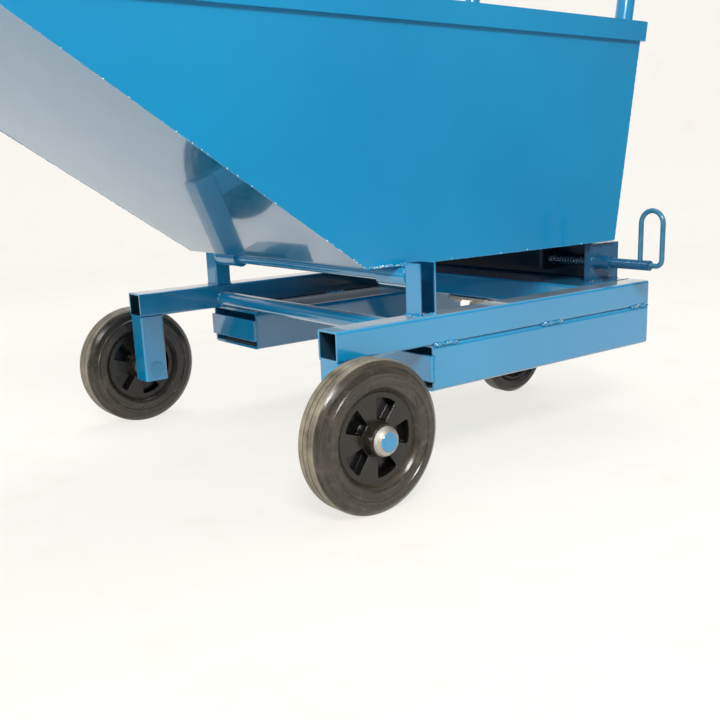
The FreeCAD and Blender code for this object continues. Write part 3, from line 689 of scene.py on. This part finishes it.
# Darker, greyer blue of the latch: painted shade and painted reflection
latch_shaded_paint = worn_and_shaded_paint("latch_shaded_paint", latch_shade_dark, latch_shade_light)
tyre_rubbers = {name: tyre_rubber(name, wheel) for name, wheel in wheels.items()}


def choose_finishes():
    """Finish of each solid that has one of its own."""
    finishes = {
        # The loop's greyer blue is partly wear and partly painted reflection
        "latch_handle": worn_and_shaded_paint("loop_wear_and_sheen", loop_wear_and_sheen_dark, loop_wear_and_sheen_light),
        # The catch is painted shade all over
        "latch_catch": worn_and_shaded_paint("painted_shade_catch", painted_shade_dark, painted_shade_light),
        # The front tube's heavy dust also paints in the pale sheen on its top
        "front_cross_tube": blue_paint("dust_and_sheen_paint", dust_and_sheen_share=heavy_dust_and_sheen),
        # The plate's underside gets painted shade
        "skip_front_plate": blue_paint("plate_paint", coat=0.9, index=1.25, shade_mask=underside_shade_mask,
                                       shade_colour=underside_shade_colour),
        # The rest beam's front face gets painted shade
        "rest_beam": blue_paint("beam_paint", coat=0.3, index=1.45, shade_mask=front_shade_mask,
                                shade_colour=painted_shade_light),
    }
    # The latch rod, bush and bracket take the latch's painted shade and reflection
    for node in ("latch_rod", "latch_bush", "latch_bracket"):
        finishes[node] = latch_shaded_paint
    for name, wheel in wheels.items():
        finishes[name + "_wheel_centre"] = black_plastic(name, wheel, windows=name != "castor")
        finishes[name + "_tyre"] = tyre_rubbers[name]
    axle_paint = worn_and_shaded_paint("axle_paint", axle_paint_dark, axle_paint_light, coat=0.8)
    pocket_paint = blue_paint("pocket_paint", dust_and_sheen_share=thick_dust)
    for side in ("left", "right"):
        rail = Span(side + "_rail")
        post = Span(side + "_post")
        finishes[side + "_axle"] = axle_paint
        finishes[side + "_fork_pocket"] = pocket_paint
        # The hollow of each post's channel gets painted shade
        finishes[side + "_post"] = blue_paint(side + "_post_paint", shade_mask=channel_shade_mask(post))
        # The rails' inner faces get painted shade behind the posts; their heavy dust also paints in the
        # pale sheen on their tops
        finishes[side + "_rail"] = blue_paint(side + "_rail_paint", dust_and_sheen_share=heavy_dust_and_sheen,
                                              shade_mask=rail_inner_shade_mask(rail, post), shade_colour=painted_shade_light)
    return finishes


def dress_solids():
    """Gives each solid its own finish, or else the finish of its slot."""
    finishes = choose_finishes()
    for part in frame["record"]["subparts"]:
        node = part["node"]
        slot = part["material_slot"]
        solid = nodes[node]
        solid.data.materials.clear()
        solid.data.materials.append(finishes[node] if node in finishes else materials[slot])


def soften_edges(solid, width, segments):
    """Takes the knife edge off a solid's corners."""
    merge = solid.modifiers.new("merge", "WELD")
    merge.merge_threshold = merge_distance
    flats = solid.modifiers.new("flats", "DECIMATE")
    flats.decimate_type = "DISSOLVE"
    flats.angle_limit = math.radians(flat_angle)
    bevel = solid.modifiers.new("edge", "BEVEL")
    bevel.width = width
    bevel.segments = segments
    bevel.limit_method = "ANGLE"
    bevel.angle_limit = math.radians(soft_edge_angle)


def turned_ring(name, profile, middle, material):
    """Closed ring turned about an axle along Y, from (radius, across) points."""
    rows = len(profile)
    points = []
    for i in range(tyre_columns):
        turn = 2 * math.pi * i / tyre_columns
        points += [middle + Vector((radius * math.cos(turn), across, radius * math.sin(turn)))
                   for radius, across in profile]
    faces = []
    for i in range(tyre_columns):
        here = i * rows
        after = (i + 1) % tyre_columns * rows
        for j in range(rows):
            beside = (j + 1) % rows
            faces.append((here + j, after + j, after + beside, here + beside))
    return mesh_object(name, points, faces, material)


def rounded_profile(corners):
    """Closed profile from (radius, across, rounding) corners, with an arc at each rounded one."""
    points = []
    count = len(corners)
    for i, (radius, across, rounding) in enumerate(corners):
        here = Vector((radius, across))
        back = (Vector(corners[i - 1][:2]) - here).normalized()
        ahead = (Vector(corners[(i + 1) % count][:2]) - here).normalized()
        half = back.angle(ahead) / 2
        reach = rounding / math.tan(half)
        for k in range(rounding_steps + 1):
            share = k / rounding_steps
            start = here + back * reach * (1 - share)
            end = here + ahead * reach * share
            points.append(start.lerp(end, share))
            if rounding == 0:
                break
    return points


def tyre_side():
    """Corners of one side of a front tyre, from its seat on the wheel centre to the middle rib."""
    tread = wheels["left"].size.z / 2
    wall = tyre_wall_width / 2
    proud = wall + tyre_ring_proud
    inside = tyre_ring_radius - tyre_ring_width / 2
    outside = tyre_ring_radius + tyre_ring_width / 2
    rib = tyre_rib / 2
    groove = rib + tyre_groove
    floor = tread - tyre_groove_depth
    return [
        (tyre_bead_radius, tyre_bead_width / 2, 0),
        (tyre_lip_radius, wall, tyre_lip_rounding),
        (inside - tyre_ring_slope, wall, tyre_ring_foot_rounding),
        (inside, proud, tyre_ring_top_rounding),
        (outside, proud, tyre_ring_top_rounding),
        (outside + tyre_ring_slope, wall, tyre_ring_foot_rounding),
        (tyre_shoulder_radius, tyre_shoulder_width / 2, tyre_shoulder_rounding),
        (tyre_edge_radius, tyre_edge_width / 2, tyre_edge_rounding),
        (tread, tyre_flat / 2, tyre_edge_rounding),
        (tread, groove, tyre_groove_edge_rounding),
        (floor, groove, tyre_groove_floor_rounding),
        (floor, rib, tyre_groove_floor_rounding),
        (tread, rib, tyre_groove_edge_rounding),
    ]


def castor_tyre_side():
    """Corners of one side of the castor's tyre, from its seat to the middle of the tread."""
    wheel = wheels["castor"]
    tread = wheel.size.z / 2
    wall = wheel.size.y / 2
    return [
        (castor_bead_radius, castor_bead_width / 2, 0),
        (castor_lip_radius, wall, tyre_lip_rounding),
        (tread - castor_shoulder, wall, castor_wall_rounding),
        (tread, wall - castor_shoulder, castor_tread_rounding),
    ]


def build_tyres():
    """Moulded tyre on each wheel, with the same profile on both sides."""
    for name, wheel in wheels.items():
        side = castor_tyre_side() if name == "castor" else tyre_side()
        other = [(radius, -across, rounding) for radius, across, rounding in reversed(side)]
        profile = rounded_profile(side + other)
        tyre = turned_ring(name + "_moulded_tyre", profile, wheel.middle, tyre_rubbers[name])
        smooth(tyre)
        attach(tyre, "castor_wheel" if name == "castor" else name + "_wheel")
        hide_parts(name + "_tyre")


def square_loop(x, span, inset):
    """Four corners round a square tube, some way in from its outer faces."""
    low_y, high_y = span.low.y + inset, span.high.y - inset
    low_z, high_z = span.low.z + inset, span.high.z - inset
    return [Vector((x, low_y, low_z)), Vector((x, high_y, low_z)), Vector((x, high_y, high_z)),
            Vector((x, low_y, high_z))]


def line_rails():
    """Dark lining on the inside of each rail, painted shade for the tube's unlit depth."""
    steel = bore_shade()
    for name in ("left_rail", "right_rail"):
        rail = Span(name)
        outside = rail_wall + bore_gap
        inside = outside + bore_skin
        start, end = rail.low.x + bore_skin, rail.high.x - bore_skin
        loops = [square_loop(start, rail, outside), square_loop(end, rail, outside),
                 square_loop(end, rail, inside), square_loop(start, rail, inside)]
        corners = len(loops[0])
        points = [point for loop in loops for point in loop]
        faces = []
        for i in range(len(loops)):
            here = corners * i
            after = corners * ((i + 1) % len(loops))
            for j in range(corners):
                beside = (j + 1) % corners
                faces.append((here + j, here + beside, after + beside, after + j))
        skin = mesh_object(name + "_bore", points, faces, steel)
        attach(skin, "carriage")


def sweep(route, radii, sides, closed=False):
    """Points and faces of a rope along a route, with a radius at each of its points."""
    count = len(route)
    points = []
    normal = None
    for i, here in enumerate(route):
        before = route[i - 1] if closed or i > 0 else here
        after = route[(i + 1) % count] if closed or i < count - 1 else here
        way = (after - before).normalized()
        if normal is None:
            normal = way.orthogonal()
        normal = (normal - way * normal.dot(way)).normalized()
        side = way.cross(normal)
        for k in range(sides):
            turn = 2 * math.pi * k / sides
            points.append(here + (normal * math.cos(turn) + side * math.sin(turn)) * radii[i])
    faces = []
    for i in range(count if closed else count - 1):
        for k in range(sides):
            a = i * sides
            b = (i + 1) % count * sides
            j = (k + 1) % sides
            faces.append((a + k, a + j, b + j, b + k))
    if not closed:
        faces.append(tuple(reversed(range(sides))))
        faces.append(tuple(range((count - 1) * sides, count * sides)))
    return points, faces


def build_spring():
    """Coil spring with closed ends, from the collar to the latch bracket."""
    span = Span("latch_spring")
    radius = (span.size.x - spring_wire) / 2
    room = span.size.y - spring_wire - 2 * spring_closed_turns * spring_closed_pitch
    turns = spring_open_turns + 2 * spring_closed_turns
    along = span.low.y + spring_wire / 2
    route = []
    for i in range(turns * spring_points_per_turn + 1):
        turn = i / spring_points_per_turn
        angle = 2 * math.pi * turn
        x = span.middle.x + radius * math.cos(angle)
        z = span.middle.z + radius * math.sin(angle)
        route.append(Vector((x, along, z)))
        closed = turn < spring_closed_turns or turn >= turns - spring_closed_turns
        pitch = spring_closed_pitch if closed else room / spring_open_turns
        along += pitch / spring_points_per_turn
    points, faces = sweep(route, [spring_wire / 2] * len(route), spring_wire_sides)
    spring = mesh_object("coiled_latch_spring", points, faces, materials["bare_steel"])
    smooth(spring)
    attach(spring, "carriage")
    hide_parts("latch_spring")
    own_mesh(spring)


def spaced(route, step):
    """Points at equal steps along a route of straight runs."""
    points = [route[0]]
    for start, end in zip(route, route[1:]):
        count = max(1, round((end - start).length / step))
        points += [start.lerp(end, (i + 1) / count) for i in range(count)]
    return points


def ring_route(middle, radius, start=0.0, end=360.0):
    """Route round an axle along Y, from one angle to another."""
    reach = math.radians(end - start)
    count = max(ring_points_least, round(reach * radius / bead_step))
    turns = [math.radians(start) + reach * i / count for i in range(count)]
    return [middle + Vector((radius * math.cos(t), 0, radius * math.sin(t))) for t in turns]


def stray(dice, reach):
    """Short step in any direction."""
    return Vector((dice.uniform(-reach, reach), dice.uniform(-reach, reach), dice.uniform(-reach, reach)))


def lay_bead(route, radius, dice, closed=False):
    """Points and faces of a weld bead: a lumpy rope of overlapping ripples, half sunk in its joint."""
    places = [place + stray(dice, bead_wander * radius) for place in route]
    ripples = [dice.uniform(ripple_least, ripple_most) for place in places]
    phase = dice.random()
    radii = []
    for i in range(len(places)):
        from_end = min(i, len(places) - 1 - i) * bead_step
        ease = 1.0 if closed else math.sqrt(min(1.0, bead_end + from_end / (2 * radius)))
        ripple = phase + i * bead_step / bead_ripple
        fade = 1.0 - bead_drop * (ripple % 1.0)
        radii.append(radius * ease * fade * ripples[int(ripple) % len(ripples)])
    points, faces = sweep(places, radii, bead_sides, closed)
    return [point + stray(dice, bead_lumps * radius) for point in points], faces


class WeldShop:
    """Collects the beads and spatter of one body into one piece."""

    def __init__(self, name, body, seed):
        self.name = name
        self.body = body
        self.dice = random.Random(seed)
        self.points = []
        self.faces = []

    def add(self, points, faces):
        first = len(self.points)
        self.points += points
        self.faces += [tuple(first + i for i in face) for face in faces]

    def bead(self, *route, radius=fillet_bead):
        """Bead along straight runs."""
        places = spaced([Vector(p) for p in route], bead_step)
        self.add(*lay_bead(places, radius, self.dice))

    def ring(self, middle, ring_radius, radius=seam_bead):
        """Bead all round an axle or tube along Y."""
        self.add(*lay_bead(ring_route(Vector(middle), ring_radius), radius, self.dice, closed=True))

    def arc(self, middle, ring_radius, start, end, radius=seam_bead):
        """Bead part of the way round an axle or tube along Y."""
        self.add(*lay_bead(ring_route(Vector(middle), ring_radius, start, end), radius, self.dice))

    def drop(self, place):
        """One speck of thrown metal."""
        size = self.dice.uniform(speck_least, 1.0) * speck
        lean = stray(self.dice, 1.0).normalized()
        route = [place + lean * size * step for step in speck_steps]
        self.add(*sweep(route, [share * size for share in speck_radii], speck_sides))

    def spatter(self, start, end, count):
        """Specks thrown on to the faces between two opposite corners of a box."""
        for i in range(count):
            self.drop(Vector([self.dice.uniform(a, b) for a, b in zip(start, end)]))

    def edge_spatter(self, start, end, count):
        """Specks along a straight edge."""
        for i in range(count):
            self.drop(Vector(start).lerp(Vector(end), self.dice.random()))

    def finish(self, material):
        piece = mesh_object(self.name, self.points, self.faces, material)
        smooth(piece)
        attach(piece, self.body)


def weld_post(shop, drops, rail, side):
    """Three sides of a post's foot, on top of the rail."""
    post = Span("left_post")
    inner = side * post.low.y
    outer = side * post.high.y
    top = rail.high.z
    shop.bead((post.low.x, inner, top), (post.low.x, outer, top),
              (post.high.x, outer, top), (post.high.x, inner, top))
    drops.spatter((post.low.x, outer, top), (post.high.x, outer, top + fillet_bead), count=9)


def weld_crossings(shop, rail, side):
    """Front cross tube, stub axle and rear cross member, at the inner face of a rail and its leg."""
    tube = Span("front_cross_tube")
    axle = Span("left_axle")
    member = Span("rear_cross_member")
    inner = side * rail.low.y
    shop.ring((tube.middle.x, inner, tube.middle.z), tube.size.z / 2, radius=fillet_bead)
    shop.arc((axle.middle.x, inner, axle.middle.z), axle.size.z / 2, axle_weld_start, axle_weld_end)
    shop.bead((member.low.x, inner, member.high.z), (member.high.x, inner, member.high.z), radius=fine_bead)
    shop.bead((member.high.x, inner, member.low.z), (member.high.x, inner, member.high.z))


def weld_leg(shop, rail, side):
    """Rear and inner edges of a leg's top, under the rail."""
    leg = Span("left_leg")
    inner = side * rail.low.y
    outer = side * rail.high.y
    shop.bead((leg.low.x, inner, leg.high.z), (leg.low.x, outer, leg.high.z))
    shop.bead((leg.low.x, inner, leg.high.z), (leg.high.x, inner, leg.high.z), radius=fine_bead)


def weld_pocket(shop, drops, rail, side):
    """Stitches between a rail and the fork pocket under it, and the stop strap at the pocket's mouth."""
    pocket = Span("left_fork_pocket")
    strap = Span("left_fork_stop_strap")
    seam = rail.low.z
    for start in (pocket.low.x, pocket.middle.x - stitch_length / 2, pocket.high.x - stitch_length):
        end = start + stitch_length
        for y in (side * rail.high.y, side * rail.low.y):
            shop.bead((start, y, seam), (end, y, seam))
            shop.spatter((start, y, seam - stitch_spatter), (end, y, seam + stitch_spatter), count=14)
            glint = y + math.copysign(fillet_bead / 2, y)
            drops.spatter((start, glint, seam), (end, glint, seam + fillet_bead), count=10)
    for y in (side * strap.low.y, side * strap.high.y):
        shop.bead((pocket.high.x, y, strap.low.z), (pocket.high.x, y, strap.high.z), radius=seam_bead)


def weld_beam(shop):
    """Three stitches along the rear foot of the rest beam."""
    beam = Span("rest_beam")
    for start in (beam.low.y, -stitch_length / 2, beam.high.y - stitch_length):
        shop.bead((beam.low.x, start, beam.low.z), (beam.low.x, start + stitch_length, beam.low.z))


def weld_bracket(dark, drops):
    """Foot of the latch bracket and the bush in it, with spatter below the bush."""
    bracket = Span("latch_bracket")
    bush = Span("latch_bush")
    face = bracket.high.y
    foot = bracket.low.z
    dark.bead((bracket.high.x, bracket.low.y, foot), (bracket.high.x, face, foot),
              (bracket.low.x, face, foot), radius=seam_bead)
    dark.ring((bush.middle.x, face, bush.middle.z), bush.size.z / 2)
    dark.spatter((bracket.low.x, face, foot), (bracket.high.x, face, bush.low.z), count=30)
    drops.spatter((bracket.low.x, face, foot), (bracket.high.x, face, bush.low.z), count=8)


def weld_carriage():
    """Welds of the carriage, with the bracket's in the latch's painted-shade blue, and bright bare drops on
    both that stand in for glints.
    """
    shop = WeldShop("carriage_welds", "carriage", seed=11)
    dark = WeldShop("bracket_welds", "carriage", seed=17)
    drops = WeldShop("carriage_spatter", "carriage", seed=41)
    rail = Span("left_rail")
    for side in (1, -1):
        weld_post(shop, drops, rail, side)
        weld_crossings(shop, rail, side)
        weld_leg(shop, rail, side)
        weld_pocket(shop, drops, rail, side)
    weld_beam(shop)
    weld_bracket(dark, drops)
    shop.finish(materials["blue_paint"])
    # The bracket's welds take the latch's painted shade
    dark.finish(latch_shaded_paint)
    drops.finish(glint_steel)


def weld_wall(shop, drops, side):
    """Seams of a skip wall, outside along plate, floor and rear wall, inside along plate and floor."""
    floor = Span("skip_floor")
    plate = Span("skip_front_plate")
    rear = Span("skip_rear_wall")
    wall = Span("left_skip_wall")
    sheet = wall.size.y
    inside = side * wall.low.y
    outside = side * wall.high.y
    edge = side * (wall.high.y - fine_bead / 2)
    lip = plate.high.x - lip_seam_inset_sheets * sheet
    below = floor.low.z
    above = floor.high.z
    shop.bead((plate.high.x, edge, plate.high.z), (plate.low.x, edge, below), (floor.low.x, edge, below),
              (rear.low.x, edge, rear.high.z), radius=fine_bead)
    drops.spatter((plate.low.x - corner_spatter, outside, below), (plate.low.x, outside, below + sheet),
                  count=45)
    drops.spatter((floor.low.x, outside, below), (plate.low.x, outside, below + sheet / 2), count=8)
    drops.edge_spatter((plate.high.x, outside, plate.high.z), (plate.low.x, outside, below), count=34)
    shop.bead((lip, inside, plate.high.z - sheet), (plate.low.x, inside, above),
              (rear.high.x - sheet, inside, above), radius=seam_bead)


def weld_sleeve(shop, side):
    """Both sides of a hinge sleeve, under the skip's floor."""
    floor = Span("skip_floor")
    sleeve = Span("hinge_sleeves")
    inset = sleeve_seam_inset_sheets * Span("left_skip_wall").size.y
    for turn in (-1, 1):
        x = sleeve.middle.x + turn * sleeve.size.x / 4
        shop.bead((x, side * (sleeve.high.y - inset), floor.low.z),
                  (x, side * (sleeve.high.y - stitch_length), floor.low.z))


def weld_skip():
    """Welds of the skip, with bright bare drops on its outer edges that stand in for glints."""
    shop = WeldShop("skip_welds", "skip", seed=23)
    drops = WeldShop("skip_spatter", "skip", seed=53)
    for side in (1, -1):
        weld_wall(shop, drops, side)
        weld_sleeve(shop, side)
    shop.finish(materials["blue_paint"])
    drops.finish(glint_steel)


def weld_latch():
    """Loop handle on the end of the latch rod."""
    shop = WeldShop("latch_welds", "latch", seed=37)
    rod = Span("latch_rod")
    loop = Span("latch_handle")
    shop.ring((rod.middle.x, rod.high.y, rod.middle.z), loop.size.x / 2, radius=fine_bead)
    # In the latch's painted shade and reflection
    shop.finish(latch_shaded_paint)


set_up_camera()
paper = stage_paper()
build_floor(paper)
build_backdrop(paper)
light_the_stage()
dress_solids()
for node in sharp_nodes:
    soften_edges(nodes[node], edge_softness, edge_segments)
for node in moulded_nodes:
    soften_edges(nodes[node], moulded_softness, moulded_segments)
build_tyres()
line_rails()
build_spring()
weld_carriage()
weld_skip()
weld_latch()
bpy.context.scene.view_settings.view_transform = "Standard"
